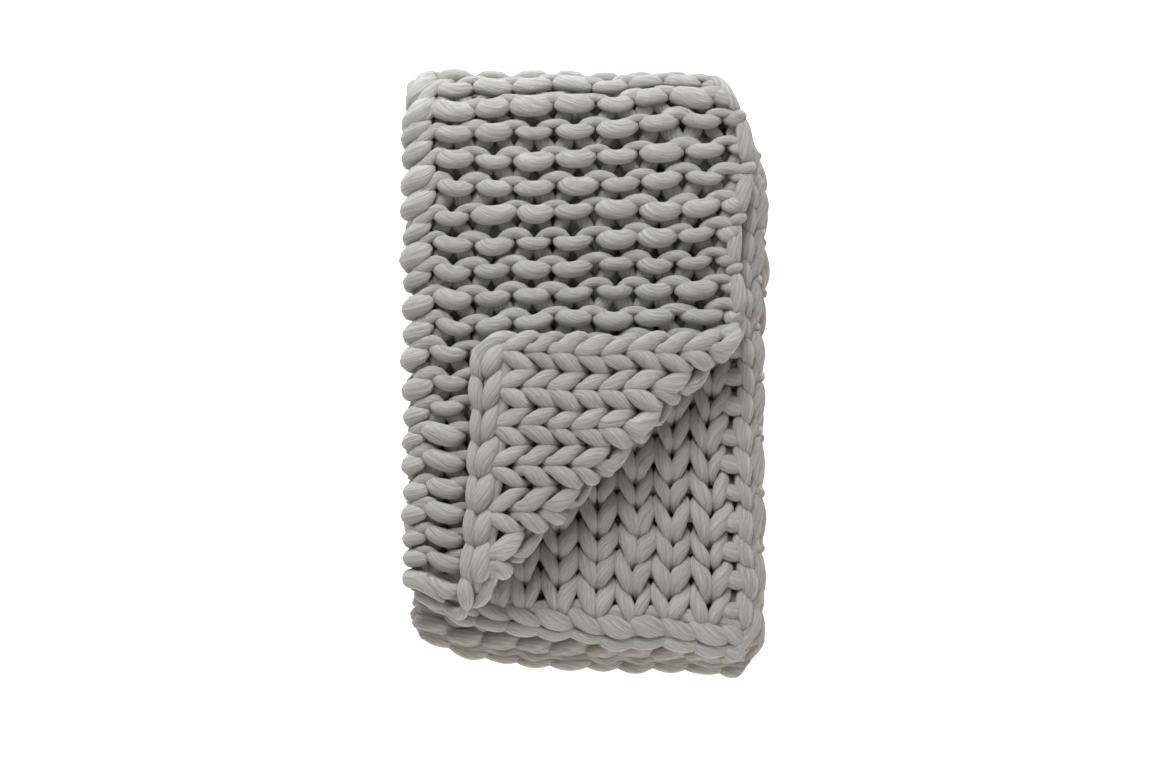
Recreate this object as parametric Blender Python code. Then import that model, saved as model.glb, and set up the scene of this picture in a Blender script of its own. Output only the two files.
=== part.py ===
"""Giant-yarn knitted throw, folded in quarters with one corner turned back.

Metres, +Z up. X is the pile's width, Y its length, the origin is under its middle.
The cloth is one grid of stitches, laid out, turned and folded by the functions of those names.
"""
import math

import bmesh
import bpy
import numpy as np

NAME = "throw_blanket"

# Cloth
STITCHES_TOP = 9        # from the side fold to the edge, on the upper half
STITCHES_UNDER = 10     # the same, on the half under it
ROWS_FRONT = 21         # from the end fold to the cast-on edge
ROWS_BACK = 22          # from the end fold to the bind-off edge
STITCH_TOP = 0.0503
STITCH_UNDER = 0.0474
THICK = 0.027           # knitted cloth of 24 mm yarn, pressed by its own weight
PITCH = 0.033           # from one layer to the next
EDGE_HALF = 0.0085      # half the thickness left at a free edge
CORNER = 0.042          # rounding of the free corners
TURNED_CORNER = 0.022   # rounding of the corner that is turned back
SCALLOP = 0.003         # how far the edge loops stand out

# Folds
SIDE_R = PITCH / 2
SIDE_ARC = math.pi / 2 * SIDE_R
END_R = PITCH
END_ARC = math.pi / 2 * END_R
AXIS_X = -0.2134
AXIS_Y = 0.3420
MID_Z = THICK / 2 + 1.5 * PITCH
TURN_R = PITCH / 2      # roll of the turned corner
TURN_ARC = math.pi * TURN_R
TURN_AT = 0.158         # its line is x - y = TURN_AT
SHIFT = (0.00241, -0.00379)     # puts the origin under the middle
DIAGONAL = "ALTERNATE"  # each square is split along the turned corner's line

# Relief on the faces that show
PURL = 0.0062
KNIT = 0.0055

# Length from the end fold to the free end edge. side: -1 under half's edge, 0 side fold, 1 upper half's edge
END_EDGE = (
    # side, front, back
    (-1.00, 0.7480, 0.7740),
    (-0.55, 0.7430, 0.7800),
    (0.00, 0.7240, 0.7720),
    (0.55, 0.7210, 0.7900),
    (1.00, 0.7225, 0.8080),
)
END_DIP = (0.026, 0.020)    # the end edge draws in at the side fold: front, back

# How far the side edges stand out from straight, by row from the end fold (minus is the back)
SIDE_EDGE = (
    # row, upper half, half under it
    (-22.0, 0.008, 0.006),
    (-17.0, 0.012, 0.010),
    (-10.0, 0.004, 0.003),
    (-4.5, 0.014, 0.012),
    (-2.3, -0.004, -0.004),
    (0.0, -0.042, -0.040),
    (2.3, 0.002, -0.002),
    (4.5, 0.012, 0.007),
    (7.5, -0.004, -0.003),
    (11.0, -0.002, 0.001),
    (15.0, 0.002, 0.000),
    (19.0, 0.000, 0.005),
    (21.0, -0.002, 0.000),
)


def smooth(x, lo, hi):
    t = np.clip((x - lo) / (hi - lo), 0.0, 1.0)
    return t * t * (3.0 - 2.0 * t)


def column(table, index):
    return np.array([row[index] for row in table])


def lay_out(a, b):
    """Stitch a (from the side fold) and row b (from the end fold) to metres on the cloth."""
    upper = a >= 0
    side = np.where(upper, a / STITCHES_TOP, a / STITCHES_UNDER)
    stand = np.where(
        upper,
        np.interp(b, column(SIDE_EDGE, 0), column(SIDE_EDGE, 1)),
        np.interp(b, column(SIDE_EDGE, 0), column(SIDE_EDGE, 2)),
    )
    width = np.where(upper, STITCHES_TOP * STITCH_TOP, STITCHES_UNDER * STITCH_UNDER)
    s = side * (width + stand * np.abs(side))
    front = b >= 0
    dip = np.exp(-((s / 0.05) ** 2))
    length = np.where(
        front,
        np.interp(side, column(END_EDGE, 0), column(END_EDGE, 1)) - END_DIP[0] * dip,
        np.interp(side, column(END_EDGE, 0), column(END_EDGE, 2)) - END_DIP[1] * dip,
    )
    tau = np.where(front, b / ROWS_FRONT, -b / ROWS_BACK)
    loose = -0.02 + 0.15 * np.clip(-side, 0.0, 1.0)
    q = length * (tau + loose * tau * (tau - 1.0))
    # rounded free corners: the square of the corner becomes a quarter disc
    full = width + stand
    corner = np.where(upper & front, TURNED_CORNER, CORNER)
    p = np.clip((np.abs(s) - (full - corner)) / corner, 0.0, 1.0)
    r = np.clip((q - (length - corner)) / corner, 0.0, 1.0)
    s = np.sign(s) * (np.abs(s) - corner * p * (1.0 - np.sqrt(1.0 - r * r / 2.0)))
    q = q - corner * r * (1.0 - np.sqrt(1.0 - p * p / 2.0))
    # the loops along the edges that show
    s = s + SCALLOP * np.sign(s) * (p > 0.99) * front * np.cos(2 * math.pi * b)
    q = q + SCALLOP * (r > 0.99) * front * np.cos(2 * math.pi * a)
    # the outer layer has further to go round the end fold
    arc = END_ARC * (1.0 + 0.5 * np.clip(side, -1.0, 1.0))
    g = np.where(q < arc, q * END_ARC / arc, END_ARC + q - arc)
    return s, np.where(front, g, -g)


def turn(s, g, n):
    """The turned corner, on the upper layer only. Gives s, g and the height over the layer's middle."""
    past = ((s - SIDE_ARC + AXIS_X) - (AXIS_Y - (g - END_ARC)) - TURN_AT) / math.sqrt(2.0) + TURN_ARC / 2
    on = (s > 0) & (g > 0) & (past > 0)
    angle = np.clip(past / TURN_R, 0.0, math.pi)
    along = np.where(past > TURN_ARC, TURN_ARC - past, (TURN_R - n) * np.sin(angle))
    height = np.where(past > TURN_ARC, 2 * TURN_R - n, TURN_R - (TURN_R - n) * np.cos(angle))
    move = np.where(on, (along - past) / math.sqrt(2.0), 0.0)
    return s + move, g + move, np.where(on, height, n), np.where(on, past, np.minimum(past, 0.0))


def fold(s, g, h):
    """The side fold, then the end fold of the two layers together."""
    phi = np.clip(s / SIDE_R, -math.pi / 2, math.pi / 2)
    flat = np.abs(s) > SIDE_ARC
    x1 = np.where(flat, np.abs(s) - SIDE_ARC, -(SIDE_R + h) * np.cos(phi))
    z1 = np.where(flat, np.sign(s) * (SIDE_R + h), (SIDE_R + h) * np.sin(phi))
    radius = END_R + z1
    psi = np.clip(g / END_R, -math.pi / 2, math.pi / 2)
    level = np.abs(g) > END_ARC
    y = AXIS_Y + np.where(level, END_ARC - np.abs(g), radius * np.cos(psi))
    z = MID_Z + np.where(level, np.sign(g) * radius, radius * np.sin(psi))
    x = AXIS_X + x1
    return x + SHIFT[0], y + SHIFT[1], z


def ridges(a, b):
    """Purl side: a ridge for each row, of wide bumps between the columns and small ones over them."""
    wave = 0.5 + 0.5 * np.cos(2 * math.pi * (b + 0.09 * np.cos(2 * math.pi * a)))
    return (1.9 * wave - 0.9) * (0.84 + 0.16 * np.cos(2 * math.pi * a))


def vees(a, b):
    """Knit side: a V for each stitch, its point towards the end edge."""
    leg = np.abs(2 * (a - np.floor(a)) - 1.0)
    row = np.cos(2 * math.pi * (np.abs(b) - 0.5 * (1.0 - leg)))
    groove = 0.5 - 0.5 * np.cos(4 * math.pi * a)
    return 0.5 * row + 1.0 * groove - 0.55 - 0.35 * (leg > 0.99)


def relief(a, b, s, g, past):
    """How far each side of the cloth is raised, purl side and knit side."""
    x = AXIS_X - SIDE_ARC + np.abs(s)
    y = AXIS_Y + END_ARC - np.abs(g)
    upper, front = a > 0, b > 0
    # the point that the turned corner lays over this one
    mx, my = y + TURN_AT, x - TURN_AT
    right = STITCHES_TOP * STITCH_TOP - SIDE_ARC + AXIS_X + np.interp(b, column(SIDE_EDGE, 0), column(SIDE_EDGE, 1))
    low = AXIS_Y + END_ARC * 1.5 - 0.7225
    out = np.maximum(mx - right, low - my)
    under_turn = 1.0 - smooth(out, -0.004, 0.012)
    lump = 0.25 * np.sin(17.0 * s + 9.0 * g) + 0.25 * np.sin(11.0 * g - 14.0 * s + 1.0)
    shows = smooth(s, -SIDE_ARC, -SIDE_ARC * 0.5) * smooth(g, -END_ARC * 0.8, -END_ARC * 0.45)
    shows = shows * (1.0 - smooth(past, -0.010, 0.004)) * (1.0 - under_turn)
    shows = shows + smooth(-b, ROWS_BACK - 1.8, ROWS_BACK - 1.2) * smooth(-s, 0.04, 0.08)
    purl = PURL * shows * (ridges(a, b) + lump)
    turned = smooth(past, 0.3 * TURN_ARC, 0.6 * TURN_ARC) * (upper & front)
    dist = ((x - y) - TURN_AT) / math.sqrt(2.0)
    open_below = np.maximum(smooth(dist, 0.034, 0.050), smooth(x, right + 0.010, right + 0.016))
    open_below = open_below * smooth(g, END_ARC + 0.03, END_ARC + 0.06) * ~upper
    knit = KNIT * (turned + open_below) * (vees(a, b) + lump)
    return purl, knit


def stitches():
    """The grid's columns and rows: 4 to a stitch and 3 to a row, finer round the side fold."""
    cols = [i / 4 for i in range(-4 * STITCHES_UNDER, -2)]
    cols += [i / 8 for i in range(-5, 6)]
    cols += [i / 4 for i in range(3, 4 * STITCHES_TOP + 1)]
    rows = [i / 3 for i in range(-3 * ROWS_BACK, 3 * ROWS_FRONT + 1)]
    return np.array(cols), np.array(rows)


def build():
    """A grid of stitches, extruded to the cloth's two sides, each point then carried through the folds."""
    cols, rows = stitches()
    bm = bmesh.new()
    bmesh.ops.create_grid(bm, x_segments=len(cols) - 1, y_segments=len(rows) - 1, size=1.0)
    raised = bmesh.ops.extrude_face_region(bm, geom=bm.faces[:])["geom"]
    bmesh.ops.translate(bm, vec=(0, 0, 1), verts=[v for v in raised if isinstance(v, bmesh.types.BMVert)])
    flat = np.array([v.co[:] for v in bm.verts])
    i = np.rint((flat[:, 0] + 1) / 2 * (len(cols) - 1)).astype(int)
    j = np.rint((flat[:, 1] + 1) / 2 * (len(rows) - 1)).astype(int)
    a, b = cols[i], rows[j]
    s, g = lay_out(a, b)
    past = turn(s, g, 0.0)[3]
    purl, knit = relief(a, b, s, g, past)
    edge = (i == 0) | (i == len(cols) - 1) | (j == 0) | (j == len(rows) - 1)
    half = np.where(edge, EDGE_HALF, THICK / 2)
    n = np.where(flat[:, 2] > 0.5, half + np.where(edge, 0.0, purl), -half - np.where(edge, 0.0, knit))
    s, g, h, _ = turn(s, g, n)
    for v, place in zip(bm.verts, np.stack(fold(s, g, h), axis=-1)):
        v.co = place
    if bm.calc_volume(signed=True) < 0:
        bmesh.ops.reverse_faces(bm, faces=bm.faces)
    bmesh.ops.triangulate(bm, faces=bm.faces, quad_method=DIAGONAL)
    bmesh.ops.dissolve_limit(bm, angle_limit=math.radians(0.3), verts=bm.verts, edges=bm.edges)
    bmesh.ops.triangulate(bm, faces=bm.faces)
    mesh = bpy.data.meshes.new(NAME)
    bm.to_mesh(mesh)
    bm.free()
    return mesh


for old in list(bpy.data.objects):
    bpy.data.objects.remove(old, do_unlink=True)

wool = bpy.data.materials.new("yarn")
wool.use_nodes = True
shader = wool.node_tree.nodes["Principled BSDF"]
shader.inputs["Base Color"].default_value = (0.56, 0.55, 0.53, 1.0)
shader.inputs["Roughness"].default_value = 0.9

home = bpy.data.collections.new(NAME)
bpy.context.scene.collection.children.link(home)
cloth = bpy.data.objects.new("throw", build())
cloth.data.materials.append(wool)
home.objects.link(cloth)
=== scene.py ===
"""Giant-yarn knitted throw, folded in quarters with one corner turned back.

Every course of the knitting is one yarn: a tube along the loop curve of stockinette, carried through
the throw's folds by the same functions as the solid it replaces. Metres, +Z up.

Places on the cloth are given as a stitch, counted from the side fold (upper half positive), a row, counted
from the end fold (front positive), and a height in metres (positive to the side of the loops' backs).
"""
import math

import bpy
import numpy as np
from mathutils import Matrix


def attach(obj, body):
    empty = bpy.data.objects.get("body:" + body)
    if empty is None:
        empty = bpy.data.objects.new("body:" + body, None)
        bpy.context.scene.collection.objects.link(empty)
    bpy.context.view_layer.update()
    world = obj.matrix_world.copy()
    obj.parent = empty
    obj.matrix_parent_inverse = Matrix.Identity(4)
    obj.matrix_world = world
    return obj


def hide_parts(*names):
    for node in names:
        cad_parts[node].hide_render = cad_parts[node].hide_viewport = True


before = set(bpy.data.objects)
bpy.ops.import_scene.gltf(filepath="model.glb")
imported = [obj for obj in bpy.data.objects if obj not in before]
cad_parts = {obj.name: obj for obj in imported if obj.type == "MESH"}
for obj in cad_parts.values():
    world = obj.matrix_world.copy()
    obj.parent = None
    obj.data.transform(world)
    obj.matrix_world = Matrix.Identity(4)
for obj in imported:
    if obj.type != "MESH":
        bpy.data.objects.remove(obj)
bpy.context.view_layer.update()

# The cloth and its folds, as in the solid
STITCHES_TOP = 9
STITCHES_UNDER = 10
ROWS_FRONT = 21
ROWS_BACK = 22
STITCH_TOP = 0.0503
STITCH_UNDER = 0.0474
THICK = 0.027
PITCH = 0.033           # from layer to layer
CORNER = 0.042          # how far in the corners are rounded
TURNED_CORNER = 0.022   # and the one that is turned back
LOOSE = (-0.02, 0.15)   # how much wider the rows get to the end edges, and how much more on the under half

SIDE_R = PITCH / 2
SIDE_ARC = math.pi / 2 * SIDE_R
END_R = PITCH
END_ARC = math.pi / 2 * END_R
AXIS_X = -0.2134        # the side fold's axis
AXIS_Y = 0.3420         # the end fold's axis
MID_Z = THICK / 2 + 1.5 * PITCH
TURN_R = PITCH / 2      # the turned corner's bend
TURN_ARC = math.pi * TURN_R
TURN_AT = 0.158         # where it starts, across its slant
SHIFT = (0.00241, -0.00379)

END_EDGE = (
    # share of the width from the side fold, length of the front half there, of the back half
    (-1.00, 0.7480, 0.7740),
    (-0.55, 0.7430, 0.7800),
    (0.00, 0.7240, 0.7720),
    (0.55, 0.7210, 0.7900),
    (1.00, 0.7225, 0.8080),
)
END_DIP = (0.026, 0.020)    # the end edges dip where the side fold takes them round, front and back,
DIP_HALF = 0.05             # over this much to each side
SIDE_EDGE = (
    # row, how far the side edge stands out on the upper half, on the half under it
    (-22.0, 0.008, 0.006),
    (-17.0, 0.012, 0.010),
    (-10.0, 0.004, 0.003),
    (-4.5, 0.014, 0.012),
    (-2.3, -0.004, -0.004),
    (0.0, -0.042, -0.040),
    (2.3, 0.002, -0.002),
    (4.5, 0.012, 0.007),
    (7.5, -0.004, -0.003),
    (11.0, -0.002, 0.001),
    (15.0, 0.002, 0.000),
    (19.0, 0.000, 0.005),
    (21.0, -0.002, 0.000),
)


def smooth(x, lo, hi):
    t = np.clip((x - lo) / (hi - lo), 0.0, 1.0)
    return t * t * (3.0 - 2.0 * t)


def swell(x, half, power=2):
    """1 at nothing and falling off on both sides, steeper with a higher power."""
    return np.exp(-((np.abs(x) / half) ** power))


def read(table, x, index):
    """A table's column at x, in between its rows."""
    return np.interp(x, [row[0] for row in table], [row[index] for row in table])


def lay_out(a, b):
    """Stitch and row to metres of flat cloth from the side fold and from the end fold."""
    upper = a >= 0
    side = np.where(upper, a / STITCHES_TOP, a / STITCHES_UNDER)
    stand = np.where(upper, read(SIDE_EDGE, b, 1), read(SIDE_EDGE, b, 2))
    width = np.where(upper, STITCHES_TOP * STITCH_TOP, STITCHES_UNDER * STITCH_UNDER)
    s = side * (width + stand * np.abs(side))
    front = b >= 0
    dip = swell(s, DIP_HALF)
    length = np.where(
        front, read(END_EDGE, side, 1) - END_DIP[0] * dip, read(END_EDGE, side, 2) - END_DIP[1] * dip
    )
    tau = np.where(front, b / ROWS_FRONT, -b / ROWS_BACK)
    loose = LOOSE[0] + LOOSE[1] * np.clip(-side, 0.0, 1.0)
    q = length * (tau + loose * tau * (tau - 1.0))
    # the corners are rounded
    full = width + stand
    corner = np.where(upper & front, TURNED_CORNER, CORNER)
    p = np.clip((np.abs(s) - (full - corner)) / corner, 0.0, 1.0)
    r = np.clip((q - (length - corner)) / corner, 0.0, 1.0)
    s = np.sign(s) * (np.abs(s) - corner * p * (1.0 - np.sqrt(1.0 - r * r / 2.0)))
    q = q - corner * r * (1.0 - np.sqrt(1.0 - p * p / 2.0))
    # round the end fold the outer layers have the longer way
    arc = END_ARC * (1.0 + 0.5 * np.clip(side, -1.0, 1.0))
    g = np.where(q < arc, q * END_ARC / arc, END_ARC + q - arc)
    return s, np.where(front, g, -g)


def past_turn(s, g):
    """How far a place lies past the line where the corner starts to turn back."""
    return ((s - SIDE_ARC + AXIS_X) - (AXIS_Y - (g - END_ARC)) - TURN_AT) / math.sqrt(2.0) + TURN_ARC / 2


def turn(s, g, n):
    """The upper front corner turned back over its slanted line."""
    past = past_turn(s, g)
    on = (s > 0) & (g > 0) & (past > 0)
    angle = np.clip(past / TURN_R, 0.0, math.pi)
    along = np.where(past > TURN_ARC, TURN_ARC - past, (TURN_R - n) * np.sin(angle))
    height = np.where(past > TURN_ARC, 2 * TURN_R - n, TURN_R - (TURN_R - n) * np.cos(angle))
    move = np.where(on, (along - past) / math.sqrt(2.0), 0.0)
    return s + move, g + move, np.where(on, height, n)


def fold(s, g, h):
    """Flat cloth folded over its width at the side, and then over its length at the end."""
    phi = np.clip(s / SIDE_R, -math.pi / 2, math.pi / 2)
    flat = np.abs(s) > SIDE_ARC
    x1 = np.where(flat, np.abs(s) - SIDE_ARC, -(SIDE_R + h) * np.cos(phi))
    z1 = np.where(flat, np.sign(s) * (SIDE_R + h), (SIDE_R + h) * np.sin(phi))
    radius = END_R + z1
    psi = np.clip(g / END_R, -math.pi / 2, math.pi / 2)
    level = np.abs(g) > END_ARC
    y = AXIS_Y + np.where(level, END_ARC - np.abs(g), radius * np.cos(psi))
    z = MID_Z + np.where(level, np.sign(g) * radius, radius * np.sin(psi))
    return np.stack([AXIS_X + x1 + SHIFT[0], y + SHIFT[1], z], axis=-1)


# The unevenness of hand knitting
rng = np.random.default_rng(27)


class Field:
    """Smooth unevenness over the cloth, from a seeded lattice: its step in stitches and rows, its size."""

    COUNT = 64
    START = 40.0    # the lattice starts this far before the folds, clear of the cloth

    def __init__(self, step, size):
        self.step, self.size = step, size
        self.values = rng.uniform(-1.0, 1.0, (self.COUNT, self.COUNT))

    def at(self, a, b):
        u, v = (a + self.START) / self.step, (b + self.START) / self.step
        i, j = np.floor(u).astype(int), np.floor(v).astype(int)
        fu, fv = u - i, v - j
        fu, fv = fu * fu * (3 - 2 * fu), fv * fv * (3 - 2 * fv)
        m, w = self.COUNT, self.values
        low = w[i % m, j % m] * (1 - fu) + w[(i + 1) % m, j % m] * fu
        high = w[i % m, (j + 1) % m] * (1 - fu) + w[(i + 1) % m, (j + 1) % m] * fu
        return self.size * (low * (1 - fv) + high * fv)


SWAY_A, SWAY_B, SWAY_N = Field(1.3, 0.10), Field(1.3, 0.10), Field(1.1, 0.0022)
TILT_B = Field(0.6, 0.07)
WIDE_A, WIDE_B = Field(4.0, 0.06), Field(4.0, 0.18)
SKEW = 1.00             # how far rows drop as they go round the side fold, in rows,
SKEW_LESS = 0.45        # and by how much less on the front, from
SKEW_ROWS = (3.0, 9.0)  # the first of these rows to the second
DROP, RISE = (-0.9, 0.1), (0.4, 2.6)    # the stitches past the side fold over which they drop and come back
CALM = 3                # rows from an end edge over which unevenness and drop fade


def settle(a, b, n):
    """The unevenness of hand knitting, and the drop round the side fold."""
    inside = smooth(ROWS_FRONT - 1 - b, 0, CALM) * smooth(b + ROWS_BACK - 1, 0, CALM)
    drop = SKEW * (1 - SKEW_LESS * smooth(b, *SKEW_ROWS)) * (smooth(-a, *DROP) - smooth(-a, *RISE))
    drop = drop * smooth(ROWS_FRONT - 0.5 - b, 0, CALM) * smooth(b + ROWS_BACK - 0.5, 0, CALM)
    return (
        a + SWAY_A.at(a, b) + WIDE_A.at(a, b),
        b + SWAY_B.at(a, b) + TILT_B.at(a, b) + WIDE_B.at(a, b) * inside + drop,
        n + SWAY_N.at(a, b),
    )


def uneven(count, spread):
    """Thick and thin along a yarn: one value every half stitch, eased between."""
    knots = rng.uniform(-1.0, 1.0, count * 2 + 3)

    def at(x):
        x = np.clip(x, 0, count * 2 + 1.999)
        i = np.floor(x).astype(int)
        f = x - i
        f = f * f * (3 - 2 * f)
        return 1.0 + spread * (knots[i] * (1 - f) + knots[i + 1] * f)

    return at


# The yarn
WALE = 0.0488               # nominal stitch, for the tube's own metric
COURSE = 0.0350
SIDE_QUARTER = 0.53         # a quarter turn round the side fold, in stitches
END_ROWS = (1.2, 2.0)       # the rows over which the end fold ends, at the side fold,
END_SLANT = 0.73            # and how many more or fewer it takes at the side edges
CREASE = 0.7                # at most how much a bend narrows the yarn on its inside
FLOOR_GAP = 0.0004
PAINTED_SHADE_HEIGHTS = (0.05, 0.10)          # heights between which the lower layers, with their painted warm shade, pass into the upper ones


def drawn_out(a, b, n):
    """How much the end fold lengthens the cloth along its rows' columns, and the crease across it."""
    half = np.where(a > 0, a / STITCHES_TOP, a / STITCHES_UNDER)
    round_side = np.sin(math.pi / 2 * np.clip(a / SIDE_QUARTER, -1, 1))
    round_end = (1 + 0.5 * round_side) / (1 + 0.5 * half)
    near = 1 - smooth(np.abs(b) - END_SLANT * half, *END_ROWS)
    s, g = lay_out(a, b)
    on = (s > 0) & (g > 0)
    bent = np.where(on, np.sin(np.clip(past_turn(s, g) / TURN_R, 0, math.pi)), 0.0)
    return 1 + (round_end - 1) * near, 1 + bent * np.clip(-n / TURN_R, 0, CREASE)


def unit(vectors):
    return vectors / (np.linalg.norm(vectors, axis=1, keepdims=True) + 1e-12)


class Yarns:
    """Tubes gathered into one mesh, with the length along the yarn and the turn round it as UVs."""

    def __init__(self):
        self.points, self.faces, self.uvs, self.tones = [], [], [], []
        self.count = 0

    def tube(self, a, b, n, wide, deep, sides):
        """A tube of its own tone along points in stitches, rows and metres of height."""
        line = np.stack([a * WALE, b * COURSE, n], axis=-1)
        along = unit(np.gradient(line, axis=0))
        side = unit(np.cross(np.array([0.0, 0.0, 1.0]), along))
        over = np.cross(along, side)
        turns = np.linspace(0.0, 2 * math.pi, sides, endpoint=False)
        round_it = side[:, None, :] * (np.cos(turns)[None, :, None] * wide[:, None, None])
        round_it += over[:, None, :] * (np.sin(turns)[None, :, None] * deep[:, None, None])
        # where a fold would draw the yarn wider, it is made narrower by as much
        ends_fold, crease = drawn_out(a, b, n)
        round_it[:, :, 1] /= ends_fold[:, None]
        lean = (round_it[:, :, 0] + round_it[:, :, 1]) * (1 / crease[:, None] - 1) / 2
        round_it[:, :, 0] += lean
        round_it[:, :, 1] += lean
        flat = (line[:, None, :] + round_it).reshape(-1, 3)
        s, g = lay_out(flat[:, 0] / WALE, flat[:, 1] / COURSE)
        place = fold(*turn(s, g, flat[:, 2]))
        place[:, 2] = np.maximum(place[:, 2], FLOOR_GAP)
        tips = np.stack([place[:sides].mean(0), place[-sides:].mean(0)])
        self.points.append(np.concatenate([place, tips]))
        self.tones.append(np.full(len(place) + 2, rng.uniform(0, 1)))
        self.skin(line, sides)
        self.count += len(place) + 2

    def skin(self, line, sides):
        """The faces between a tube's rings and over its two ends, with their UVs."""
        m = len(line)
        length = np.concatenate([[0.0], np.cumsum(np.linalg.norm(np.diff(line, axis=0), axis=1))])
        ring = np.arange(m - 1)[:, None] * sides
        k = np.arange(sides)
        k2 = (k + 1) % sides
        quads = np.stack([ring + k, ring + k2, ring + sides + k2, ring + sides + k], axis=-1)
        last, tip = (m - 1) * sides, m * sides
        start = np.stack([np.full(sides, tip), k2, k], axis=-1)
        end = np.stack([np.full(sides, tip + 1), last + k, last + k2], axis=-1)
        self.faces += [quads.reshape(-1, 4) + self.count, np.concatenate([start, end]) + self.count]
        u0 = np.broadcast_to(length[:-1, None], (m - 1, sides))
        u1 = np.broadcast_to(length[1:, None], (m - 1, sides))
        v0 = np.broadcast_to((k / sides)[None, :], (m - 1, sides))
        v1 = v0 + 1.0 / sides
        corners = [np.stack(pair, -1) for pair in ((u0, v0), (u0, v1), (u1, v1), (u1, v0))]
        self.uvs += [np.stack(corners, axis=2).reshape(-1, 2), np.zeros((2 * sides * 3, 2))]

    def make(self, name):
        mesh = bpy.data.meshes.new(name)
        points = np.concatenate(self.points).astype(np.float32)
        loops = np.concatenate([f.reshape(-1) for f in self.faces]).astype(np.int32)
        sizes = np.concatenate([np.full(len(f), f.shape[1]) for f in self.faces]).astype(np.int32)
        starts = np.concatenate([[0], np.cumsum(sizes)[:-1]]).astype(np.int32)
        mesh.vertices.add(len(points))
        mesh.vertices.foreach_set("co", points.reshape(-1))
        mesh.loops.add(len(loops))
        mesh.loops.foreach_set("vertex_index", loops)
        mesh.polygons.add(len(sizes))
        mesh.polygons.foreach_set("loop_start", starts)
        mesh.polygons.foreach_set("use_smooth", np.ones(len(sizes), dtype=bool))
        mesh.update(calc_edges=True)
        uv = mesh.uv_layers.new(name="yarn")
        uv.data.foreach_set("uv", np.concatenate(self.uvs).astype(np.float32).reshape(-1))
        tone = mesh.attributes.new("tone", "FLOAT", "POINT")
        tone.data.foreach_set("value", np.concatenate(self.tones).astype(np.float32))
        # low is the mask of the painted warm shade: 1 on the lower layers, falling to 0 on the upper ones
        low = mesh.attributes.new("low", "FLOAT", "POINT")
        low.data.foreach_set("value", 1 - smooth(points[:, 2], *PAINTED_SHADE_HEIGHTS))
        mesh.validate()
        obj = bpy.data.objects.new(name, mesh)
        bpy.context.scene.collection.objects.link(obj)
        return obj


# The courses
KNITTED = (
    # stitch of a course, where it lies near the end fold, near the end edge; the last stitch stands apart
    (-10.0, -9.85, -9.85),
    (-9.5, -9.62, -9.62),
    (-9.06, -9.33, -9.33),
    (-8.94, -8.97, -8.97),
    (-8.5, -8.47, -8.47),
    (-3.5, -3.60, -3.20),
    (0.0, -0.90, -0.80),
    (1.0, 0.10, 0.10),
    (2.0, 1.18, 0.92),
    (3.0, 2.27, 2.35),
    (4.0, 3.36, 3.70),
    (5.0, 4.44, 4.85),
    (6.0, 5.53, 5.92),
    (8.0, 7.70, 7.90),
    (9.0, 8.78, 8.85),
)
DRIFT = (
    # stitch, rows where it goes over from the one place to the other
    (-3.0, 9.5, 12.0),
    (0.0, 9.5, 14.0),
    (2.0, 10.0, 15.0),
    (4.0, 14.0, 16.3),
    (9.0, 6.7, 9.0),
)
COURSES = (
    # course, its row on the upper half, on the half under it; tighter round the end fold
    (-22.0, -21.11, -21.11),
    (-3.0, -2.35, -2.35),
    (-0.3, 0.05, 0.05),
    (0.7, 0.95, 0.95),
    (1.7, 1.62, 1.62),
    (2.7, 2.42, 2.42),
    (3.7, 3.50, 3.50),
    (7.7, 7.76, 7.90),
    (19.0, 19.50, 19.45),
    (20.0, 20.60, 20.55),
)
ROW = 0.0345                    # a row's height on the upper half,
CREASE_LINE = (0.72, 0.80)      # the slant where the turned corner starts, metres across and along added up
UNDER_FROM = (-0.3, 1.2)        # the stitches past the side fold over which the smooth side comes up
HALVES = (-1.5, 0.9)            # the stitches over which the under half's rows pass into the upper half's
# in pairs: where the loops' backs show, where their legs do
LEAN = (0.222, 0.285)           # how far a loop's legs lean, in stitches
REACH = (0.69, 0.86)            # half a loop's height, in rows
OVER = (0.007, 0.0110)          # how far a leg's foot lies over the leg of the next row
UPRIGHT = 0.042                 # how much less the legs lean on the under half
DEEP = 0.0083                   # legs to one side, heads and sinkers to the other,
PLATEAU = 2.0                   # and how quickly they pass from one to the other
HEAD_SINKS = 0.0026             # heads lie deeper than that
SINKER_RISES = 0.0016           # and sinkers stand out
LOOP = (
    # half the yarn's width, how far to each side of the middle it holds, in radians, and how evenly
    (0.0110, 0.66, 2.6),        # in a loop's legs
    (0.0109, 0.82, 10),         # in the sinkers between loops
    (0.0072, 0.7, 2),           # in a loop's head
)
PINCH = 0.0056                  # half its width where loops cross
FLAT = 0.86                     # its depth against its width
THICK_THIN = 0.24               # how much its width varies along it
# round the end fold, over so many rows to each side: more lean, flatter loops and raised heads
FOLD_LEAN, FOLD_FLATTER, FOLD_ROWS = 0.2, 0.35, 1.2
FOLD_HEAD, FOLD_HEAD_ROWS = 0.004, 0.8
# fuller yarn on the side fold and in the first loop beside it, over so many stitches to each side
SIDE_FULLER, SIDE_HALF = 0.18, 0.45
FIRST_FULLER, FIRST_HALF, FIRST_ROWS = 0.20, 0.4, (4.0, 8.0)
COVERED_FULLER = 0.14           # fuller where layers cover it, so light doesn't pass through all of them:
COVERED_TO = 9                  # on the back, and on the under half up to this row
TUCK_TOP, TUCK_UNDER = 0.0060, 0.0130   # how far a course's ends go under the chains at the side edges,
TUCK_IN = 0.16                  # and in from the under half's edge, in stitches


def across(a, b):
    """A course's stitch to its place, counted in even stitches from the side fold."""
    near, far = read(KNITTED, a, 1), read(KNITTED, a, 2)
    return near + (far - near) * smooth(b, read(DRIFT, near, 1), read(DRIFT, near, 2))


def down(index, a):
    """A course's number to its place, counted in even rows from the end fold."""
    top, under = read(COURSES, index, 1), read(COURSES, index, 2)
    return under + (top - under) * smooth(a, *HALVES)


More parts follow.
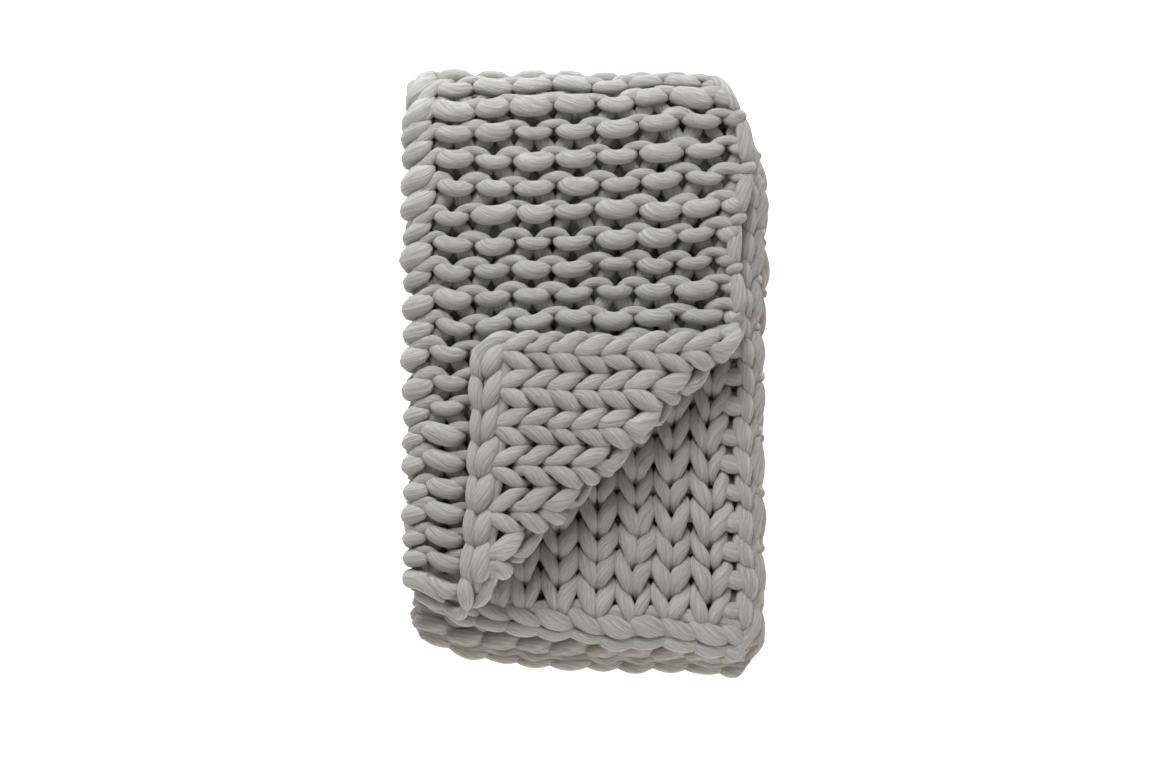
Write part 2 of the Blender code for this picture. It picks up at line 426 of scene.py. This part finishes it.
def legs_show(a, b):
    """1 where the smooth side is seen, on the under half and the turned corner, and 0 elsewhere."""
    return np.maximum(smooth(-a, *UNDER_FROM), smooth(a * STITCH_TOP + b * ROW, *CREASE_LINE))


def loop_width(*away):
    """Half the yarn's width, by how far a place is from the middle of a leg, sinker and head, in radians."""
    swells = [(wide - PINCH) * swell(x, half, power) for x, (wide, half, power) in zip(away, LOOP)]
    return PINCH + np.maximum.reduce(swells)


def course(yarns, index, steps, sides):
    """One course of loops, from the under half's edge to the upper half's."""
    count = STITCHES_UNDER + STITCHES_TOP
    t = np.linspace(0.0, count, count * steps + 1)
    theta = 2 * math.pi * t
    turned = np.mod(theta, 2 * math.pi)
    sinker = np.minimum(turned, 2 * math.pi - turned)
    head = math.pi - sinker
    leg = np.abs(sinker - math.pi / 2)
    stitch = t - STITCHES_UNDER
    shown = legs_show(across(stitch, down(index, stitch)), down(index, stitch))
    lean, reach, over = (back + (front - back) * shown for back, front in (LEAN, REACH, OVER))
    b = down(index + reach * np.cos(theta), stitch)
    lean = (lean - UPRIGHT * smooth(-stitch, 0, 2)) * (1 + FOLD_LEAN * swell(b, FOLD_ROWS))
    a = across(stitch + lean * np.sin(2 * theta), b)
    n = DEEP * np.tanh(PLATEAU * np.cos(2 * theta)) / math.tanh(PLATEAU)
    n = n - over * np.cos(theta) * np.sin(theta) ** 2
    n = n - HEAD_SINKS * swell(head, 0.9) + SINKER_RISES * swell(sinker, 0.7, 4)
    n = n * (1 - FOLD_FLATTER * swell(b, FOLD_ROWS)) + FOLD_HEAD * swell(b, FOLD_HEAD_ROWS) * swell(head, 0.9)
    wide = loop_width(leg, sinker, head) * uneven(count, THICK_THIN)(t * 2)
    wide = wide * (1 + SIDE_FULLER * swell(a, SIDE_HALF))
    wide = wide * (1 + FIRST_FULLER * swell(a - 1, FIRST_HALF) * smooth(b, *FIRST_ROWS))
    covered = np.maximum(smooth(-b, 1, 3), smooth(-stitch, 0, 2) * smooth(COVERED_TO - b, 0, 2))
    wide = wide * (1 + COVERED_FULLER * covered)
    # the ends of the course are tucked under the chains at the side edges
    n = n - TUCK_TOP * smooth(t, count - 0.22, count) + TUCK_UNDER * (1 - smooth(t, 0.15, 0.55))
    a = a + TUCK_IN * (1 - smooth(t, 0.10, 0.45))
    yarns.tube(*settle(a, b, n), wide, wide * FLAT, sides)


# The chains round the edges
EDGE_TOP = 8.78             # where the courses end at the upper half's side edge, in stitches
EDGE_UNDER = 9.80           # and at the under half's
CHAIN = 0.0125              # half the chain yarn's width
TIP, LEAF_FLAT = 0.3, 0.9   # a leaf's width at its tips against its middle, and its depth against its width
STRAND_FLAT = 0.7           # and a strand's
CAST_ON = {
    "row": ROWS_FRONT - 0.42,
    "way": 1,               # which way its rows count up, to the edge
    "links": 21,
    "span": (0.51, 0.03),   # rows in from the edge where a leaf on the smooth face starts and ends
    "lean": 0.15,           # how much a leaf on the other face leans, in rows
    "strands": ((0.16, 0.0090, -0.005), (0.62, 0.0100, -0.005)),    # rows in, half width, height
    "detail": (14, 12),     # steps and sides of its tubes
}
BIND_OFF = {
    "row": -(ROWS_BACK - 0.42),
    "way": -1,
    "links": 19,
    "span": (0.95, 0.05),
    "lean": 0.0,
    "strands": ((0.20, 0.0125, 0.001), (0.72, 0.0125, 0.001), (-0.12, 0.0085, 0.0)),
    "detail": (10, 8),
}
TURN_YARN, KNOT_YARN, SLACK_YARN = 0.0104, 0.0080, 0.0118   # half the width of turns, knots and slack strands
TURN_ROWS = 1.94            # rows to a turn at a side edge
BACK_IN = 0.010             # how much nearer to the smooth face they lie on the back
DRAWN_FROM, DRAWN_IN = 10.5, 0.26   # from this row on, the upper half's turns are drawn in, in stitches


def leaf(yarns, a, b, n, wide, detail, sharp=0.75):
    """A short fat length of yarn with narrow ends, through three points in stitches, rows and metres."""
    steps, sides = detail
    t = np.linspace(0.0, 1.0, steps)
    bez = [(1 - t) ** 2, 2 * t * (1 - t), t**2]
    pa, pb, pn = (sum(w * p for w, p in zip(bez, pts)) for pts in (a, b, n))
    body = wide * (TIP + (1 - TIP) * np.sin(math.pi * (0.02 + 0.96 * t)) ** sharp)
    yarns.tube(*settle(pa, pb, pn), body, body * LEAF_FLAT, sides)


def end_chain(yarns, row, way, links, span, lean, strands, detail):
    """The chain along an end edge: each link has a leaf on the smooth face, the rim and the other face."""

    def inward(rows):
        return row - way * rows

    marks = np.linspace(-EDGE_UNDER, EDGE_TOP, links + 1)
    for here, there in zip(marks[:-1], marks[1:]):
        wide = CHAIN * rng.uniform(0.86, 1.16, 3)
        hi = min(there + 0.06, EDGE_TOP - 0.15)
        lo = max(here - 0.14, 0.2 - EDGE_UNDER)
        mid = (hi + lo) / 2
        sway = rng.uniform(-0.06, 0.06, 5)
        smooth_face = (
            inward(span[0]) + sway[0],
            inward(0.5 * span[0] - 0.13 + sway[1]),
            inward(span[1]) + sway[2],
        )
        leaf(yarns, (hi, mid, lo), smooth_face, (-0.003, -0.017, -0.005), wide[0], detail)
        rim = (inward(-0.36), inward(-0.43), inward(-0.20))
        rim_height = (-0.003, -0.008 + 0.02 * sway[3], -0.002)
        leaf(yarns, (hi - 0.02, mid - 0.05, lo - 0.10), rim, rim_height, wide[1] * 0.84, detail)
        other_face = (inward(0.02 - lean + sway[4]), inward(0.30), inward(0.42 + 2 * lean + sway[3]))
        other_height = (0.001, 0.016 + 0.02 * lean, -0.03 * lean)
        leaf(yarns, (hi - 0.02, mid, lo + 0.02), other_face, other_height,
             wide[2] * 0.95, detail, 0.5 + 2 * lean)
    # the strands that they are worked over
    steps, sides = detail
    stitches = STITCHES_TOP + STITCHES_UNDER
    a = np.linspace(0.3 - EDGE_UNDER, EDGE_TOP - 0.3, 10 * steps)
    for rows, half, height in strands:
        b = inward(rows + 0.08 * np.cos(2 * math.pi * a))
        wide = half * uneven(stitches + 1, 0.12)(np.linspace(0, 2 * stitches, len(a)))
        yarns.tube(*settle(a, b, np.full(len(a), height)), wide, wide * STRAND_FLAT, sides)
    # round the corners, from the rim to the side edge
    for edge in (EDGE_TOP, -EDGE_UNDER):
        out = math.copysign(1.0, edge)
        places = (edge - 0.85 * out, edge + 0.10 * out, edge - 0.02 * out)
        leaf(yarns, places, (inward(-0.24), inward(-0.30), inward(1.05)),
             (-0.004, -0.010, -0.002), 0.0120, detail, 0.6)


def side_chain(yarns, edge, low, blunt, lo, hi, detail):
    """The turns at a side edge: a long loop for every second row, and a small knot across its end."""
    way = math.copysign(1.0, edge)
    b = lo
    while b < hi:
        size = rng.uniform(0.92, 1.12)
        drawn_in = DRAWN_IN if way > 0 and b > DRAWN_FROM else 0.0
        out = edge + way * (rng.uniform(-0.03, 0.05) - drawn_in)
        sway = rng.uniform(-0.08, 0.08)
        side = low - BACK_IN * float(smooth(-b, 0.0, 2.0))
        rows = (b - 0.04, b + 0.78, b + 1.58)
        leaf(yarns, (out - 0.03, out + sway, out), rows,
             (side, side + 0.006, side), TURN_YARN * size, detail, blunt)
        places = (out - 0.20 * way, out + 0.02, out + 0.14 * way)
        rows = (b + 1.86, b + 1.76, b + 1.64)
        leaf(yarns, places, rows, (side, side + 0.008, side - 0.001), KNOT_YARN * size, detail, 0.4)
        b += TURN_ROWS


def ladder(yarns, lo, hi, detail):
    """The slack strands before the under half's last stitch, one for each row."""
    for r in range(lo, hi):
        b = down(r + 0.12, -9.0) + rng.uniform(-0.08, 0.08)
        wide = SLACK_YARN * rng.uniform(0.85, 1.15)
        leaf(yarns, (-8.78, -9.13, -9.48), (b - 0.05, b + 0.04, b),
             (-0.002, -0.0105, -0.002), wide, detail, 0.35)


STEPS, SIDES = ((28, 12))
PARTS = (
    # name, first row, last row, steps and sides of the tubes
    ("knit_cast_on", 10, ROWS_FRONT - 1, STEPS, SIDES),
    ("knit_middle", 0, 10, STEPS, SIDES),
    ("knit_end_fold", -8, 0, 20, 10),
    ("knit_bind_off", 1 - ROWS_BACK, -8, 16, 8),
)
made = []
for name, first, last, steps, sides in PARTS:
    yarns = Yarns()
    for index in range(first, last):
        course(yarns, index, steps, sides)
    made.append(yarns.make(name))
edges = Yarns()
end_chain(edges, **CAST_ON)
end_chain(edges, **BIND_OFF)
side_chain(edges, EDGE_TOP - 0.04, 0.004, 0.36, -ROWS_BACK + 1.2, ROWS_FRONT - 2.2, (12, 10))
side_chain(edges, -EDGE_UNDER, 0.002, 0.6, -ROWS_BACK + 0.6, ROWS_FRONT - 2.2, (12, 10))
ladder(edges, 5, ROWS_FRONT - 1, (10, 10))
made.append(edges.make("knit_edges"))


# The wool
SHADED = (0.355, 0.352, 0.342, 1.0)     # between the fibres
LIT = (0.665, 0.661, 0.643, 1.0)        # and on them
WARM_SHADE = (1.0, 0.955, 0.875, 1.0)         # painted warm shade, the tint multiplied onto the lower layers, which are the same yarn as the upper ones
TWIST = 5.0                             # turns of the fibres to a metre of yarn
FINE_SHARE = 0.58                       # of the fine fibres in the pattern, against the coarser strands
TONES = (0.95, 0.10)                    # the darkest yarn, and how much lighter the lightest is


class Nodes:
    """A material and its nodes, added and joined in few words."""

    def __init__(self, name):
        self.material = bpy.data.materials.new(name)
        self.material.use_nodes = True
        self.tree = self.material.node_tree
        self.shader = self.tree.nodes["Principled BSDF"]

    def set(self, node, **values):
        """Values and links by input name, with _ for a space."""
        for key, value in values.items():
            self.join(value, node.inputs[key.replace("_", " ")])

    def join(self, value, slot):
        if isinstance(value, bpy.types.NodeSocket):
            self.tree.links.new(value, slot)
        else:
            slot.default_value = value

    def add(self, kind, **settings):
        node = self.tree.nodes.new("ShaderNode" + kind)
        for key, value in settings.items():
            setattr(node, key, value)
        return node

    def maths(self, operation, *values):
        node = self.add("Math", operation=operation)
        for slot, value in zip(node.inputs, values):
            self.join(value, slot)
        return node.outputs[0]


def roving():
    """Soft grey roving: noise drawn out along the yarn and wrapped round it with a slow twist."""
    nodes = Nodes("roving")
    nodes.set(nodes.shader, Roughness=0.9, Sheen_Weight=0.3, Sheen_Roughness=0.45)
    split = nodes.add("SeparateXYZ")
    nodes.join(nodes.add("UVMap", uv_map="yarn").outputs["UV"], split.inputs[0])
    length, round_it = split.outputs["X"], split.outputs["Y"]
    angle = nodes.maths(
        "MULTIPLY", nodes.maths("ADD", round_it, nodes.maths("MULTIPLY", length, TWIST)), 2 * math.pi
    )

    def fibres(spread, lengthwise, detail):
        place = nodes.add("CombineXYZ")
        nodes.join(nodes.maths("MULTIPLY", nodes.maths("COSINE", angle), spread), place.inputs[0])
        nodes.join(nodes.maths("MULTIPLY", nodes.maths("SINE", angle), spread), place.inputs[1])
        nodes.join(nodes.maths("MULTIPLY", length, lengthwise), place.inputs[2])
        noise = nodes.add("TexNoise")
        nodes.set(noise, Vector=place.outputs[0], Scale=1.0, Detail=detail, Roughness=0.6)
        return noise.outputs["Fac"]

    fine = fibres(19.0, 70.0, 5.0)
    strand = fibres(4.6, 15.0, 4.0)
    mixed = nodes.maths(
        "ADD", nodes.maths("MULTIPLY", fine, FINE_SHARE), nodes.maths("MULTIPLY", strand, 1 - FINE_SHARE)
    )
    ramp = nodes.add("ValToRGB")
    for stop, position, colour in zip(ramp.color_ramp.elements, (0.39, 0.61), (SHADED, LIT)):
        stop.position, stop.color = position, colour
    nodes.set(ramp, Fac=mixed)
    tone = nodes.add("Attribute", attribute_name="tone").outputs["Fac"]
    shade = nodes.add("HueSaturation")
    value = nodes.maths("ADD", nodes.maths("MULTIPLY", tone, TONES[1]), TONES[0])
    nodes.set(shade, Color=ramp.outputs["Color"], Value=value)
    # painted warm shade: where the low mask is 1, the lower layers' colour is multiplied by the warm tint
    warm_shade = nodes.add("MixRGB", blend_type="MULTIPLY")
    low = nodes.add("Attribute", attribute_name="low").outputs["Fac"]
    for slot, value in zip(warm_shade.inputs, (low, shade.outputs["Color"], WARM_SHADE)):
        nodes.join(value, slot)
    coarse, grain = nodes.add("Bump"), nodes.add("Bump")
    nodes.set(coarse, Strength=0.55, Distance=0.0022, Height=strand)
    nodes.set(grain, Strength=0.9, Distance=0.0018, Height=fine, Normal=coarse.outputs["Normal"])
    nodes.set(nodes.shader, Base_Color=warm_shade.outputs[0], Normal=grain.outputs["Normal"])
    return nodes.material


wool = roving()
for obj in made:
    obj.data.materials.append(wool)
    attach(obj, "root")
    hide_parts("throw")

# The photograph's setting
PIXEL = 1.33e-3             # metres to a pixel of the photograph
PICTURE_WIDTH = 1170        # in its pixels
OFF_CENTRE = (-3, -19.5)    # the pile's middle against the picture's, in its pixels
SCALE_HEIGHT = 0.12         # the height at which that scale holds
GLOW, SKY = 0.70, 0.285     # how bright the ground and the surroundings are of themselves


def paper():
    """A bright white ground that glows a little, as a studio's does."""
    nodes = Nodes("paper")
    nodes.set(nodes.shader, Base_Color=(0.9, 0.9, 0.9, 1.0), Roughness=1.0)
    nodes.set(nodes.shader, Emission_Color=(1.0, 0.99, 0.98, 1.0), Emission_Strength=GLOW)
    return nodes.material


def soft_light(name, power, size, colour, place, tilt):
    """A square soft box, its tilt in degrees."""
    light = bpy.data.objects.new(name, bpy.data.lights.new(name, "AREA"))
    light.data.energy, light.data.size, light.data.color = power, size, colour
    light.location = place
    light.rotation_euler = [math.radians(angle) for angle in tilt]
    bpy.context.scene.collection.objects.link(light)


bpy.ops.mesh.primitive_plane_add(size=40.0, location=(0, 0, -0.0005))
floor = bpy.context.object
floor.name = "floor"
floor.data.materials.append(paper())

world = bpy.data.worlds.new("white")
world.use_nodes = True
background = world.node_tree.nodes["Background"]
background.inputs["Color"].default_value = (1.0, 1.0, 1.0, 1.0)
background.inputs["Strength"].default_value = SKY
bpy.context.scene.world = world
bpy.context.scene.view_settings.view_transform = "Standard"

soft_light("key", 71, 1.5, (1.0, 1.0, 1.0), (-0.35, 2.2, 1.55), (-55, 0, -9))
soft_light("fill", 15, 1.4, (1.0, 0.96, 0.91), (0.3, -1.7, 0.45), (78, 0, 10))

camera = bpy.data.objects.new("camera", bpy.data.cameras.new("camera"))
camera.data.lens = 70
camera.data.sensor_width = 36
distance = PICTURE_WIDTH * PIXEL * camera.data.lens / camera.data.sensor_width
camera.location = (
    OFF_CENTRE[0] * PIXEL + SHIFT[0], OFF_CENTRE[1] * PIXEL + SHIFT[1], distance + SCALE_HEIGHT
)
bpy.context.scene.collection.objects.link(camera)
bpy.context.scene.camera = camera
